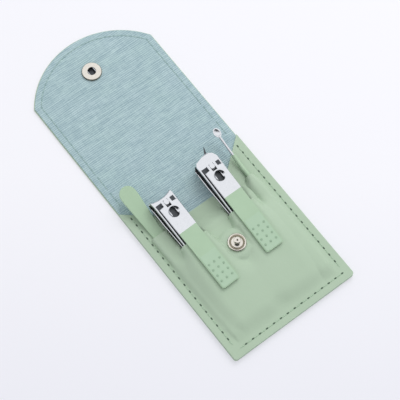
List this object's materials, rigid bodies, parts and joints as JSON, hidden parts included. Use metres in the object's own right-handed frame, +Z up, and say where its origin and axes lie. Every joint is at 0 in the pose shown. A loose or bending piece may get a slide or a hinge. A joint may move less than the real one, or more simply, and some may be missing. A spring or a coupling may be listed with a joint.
{
  "type": "manicure set case",
  "caption": "Open leather pocket case with a folding press-stud flap, holding sliding nail clippers with working levers, a nail pusher and an ear pick.",
  "frame": {"origin": "middle of the open case's footprint, on the surface it lies on", "axes": "+X to the right across the case, +Y from the pocket's bottom edge to the flap, +Z up from the table"},
  "size_m": [0.07, 0.1752, 0.0132],
  "materials": {
    "green_leather": "pale sage imitation leather, fine grain, satin",
    "linen_lining": "blue-grey linen weave, matt",
    "green_thread": "sage polyester thread",
    "nickel_plate": "warm nickel plate, polished",
    "spring_wire": "bright steel wire",
    "chromed_steel": "mirror chrome on steel",
    "green_enamel": "sage baked enamel, satin, bare chrome at the levers' heads"
  },
  "bodies": {
    "case": {"back_shell": "green_leather", "back_lining": "linen_lining", "pocket_front": "green_leather", "pocket_thread": "green_thread", "snap_stud": "nickel_plate", "stud_rivet": "nickel_plate"},
    "lower_fold": {"lower_fold_shell": "green_leather", "lower_fold_lining": "linen_lining", "fold_thread_lower": "green_thread"},
    "upper_fold": {"upper_fold_shell": "green_leather", "upper_fold_lining": "linen_lining", "fold_thread_upper": "green_thread"},
    "flap": {"flap_shell": "green_leather", "flap_lining": "linen_lining", "flap_thread": "green_thread", "snap_cap": "nickel_plate", "snap_socket": "nickel_plate", "snap_spring": "spring_wire"},
    "nail_clipper": {"nail_lower_jaw": "chromed_steel", "nail_rear_rivet": "chromed_steel"},
    "nail_jaw": {"nail_upper_jaw": "chromed_steel"},
    "nail_swivel": {"nail_pin": "chromed_steel"},
    "nail_lever_arm": {"nail_lever": "green_enamel", "nail_axle": "chromed_steel"},
    "slant_clipper": {"slant_lower_jaw": "chromed_steel", "slant_rear_rivet": "chromed_steel"},
    "slant_jaw": {"slant_upper_jaw": "chromed_steel"},
    "slant_swivel": {"slant_pin": "chromed_steel"},
    "slant_lever_arm": {"slant_lever": "green_enamel", "slant_axle": "chromed_steel"},
    "pusher": {"nail_pusher": "green_enamel"},
    "pick": {"ear_pick": "chromed_steel", "ear_pick_handle": "green_enamel"}
  },
  "joints": [
    {"name": "lower_fold_hinge", "type": "hinge", "parent": "case", "child": "lower_fold", "pos_m": [0, 0.0024, 0.0013], "axis": [-1, 0, 0], "range_deg": [-46.48, 0]},
    {"name": "upper_fold_hinge", "type": "hinge", "parent": "lower_fold", "child": "upper_fold", "pos_m": [0, 0.0125, 0.0013], "axis": [-1, 0, 0], "range_deg": [-92.95, 0]},
    {"name": "flap_hinge", "type": "hinge", "parent": "upper_fold", "child": "flap", "pos_m": [0, 0.0226, 0.0013], "axis": [-1, 0, 0], "range_deg": [-46.48, 0]},
    {"name": "nail_clipper_slide", "type": "slide", "parent": "case", "child": "nail_clipper", "axis": [-0.0226, 0.9944, 0.1028], "range_m": [-0.001, 0.045]},
    {"name": "nail_jaw_spring", "type": "hinge", "parent": "nail_clipper", "child": "nail_jaw", "pos_m": [-0.01526, -0.05192, 0.00386], "axis": [-0.9997, -0.0227, 0], "range_deg": [0, 2.4], "stiffness_Nm_per_rad": 0.3},
    {"name": "nail_pin_turn", "type": "hinge", "parent": "nail_clipper", "child": "nail_swivel", "pos_m": [-0.0162, -0.0106, 0.0125], "axis": [-0.0023, 0.1028, -0.9947], "range_deg": [0, 180]},
    {"name": "nail_lever_lift", "type": "hinge", "parent": "nail_swivel", "child": "nail_lever_arm", "pos_m": [-0.0162, -0.0106, 0.0125], "axis": [-0.9997, -0.0227, 0], "range_deg": [0, 160]},
    {"name": "slant_clipper_slide", "type": "slide", "parent": "case", "child": "slant_clipper", "axis": [0, 0.9947, 0.1028], "range_m": [-0.001, 0.045]},
    {"name": "slant_jaw_spring", "type": "hinge", "parent": "slant_clipper", "child": "slant_jaw", "pos_m": [0.0119, -0.05013, 0.00386], "axis": [-1, 0, 0], "range_deg": [0, 2.4], "stiffness_Nm_per_rad": 0.3},
    {"name": "slant_pin_turn", "type": "hinge", "parent": "slant_clipper", "child": "slant_swivel", "pos_m": [0.0119, -0.0088, 0.0125], "axis": [0, -0.1028, 0.9947], "range_deg": [0, 180]},
    {"name": "slant_lever_lift", "type": "hinge", "parent": "slant_swivel", "child": "slant_lever_arm", "pos_m": [0.0119, -0.0088, 0.0125], "axis": [-1, 0, 0], "range_deg": [0, 160]},
    {"name": "pusher_slide", "type": "slide", "parent": "case", "child": "pusher", "axis": [-0.0227, 0.9996, 0.0183], "range_m": [-0.003, 0.055]},
    {"name": "pick_slide", "type": "slide", "parent": "case", "child": "pick", "axis": [0, 0.9998, 0.0211], "range_m": [-0.003, 0.045]}
  ],
  "couplings": [
    {"joint": "upper_fold_hinge", "follows": "lower_fold_hinge", "ratio": 2},
    {"joint": "flap_hinge", "follows": "lower_fold_hinge", "ratio": 1}
  ]
}
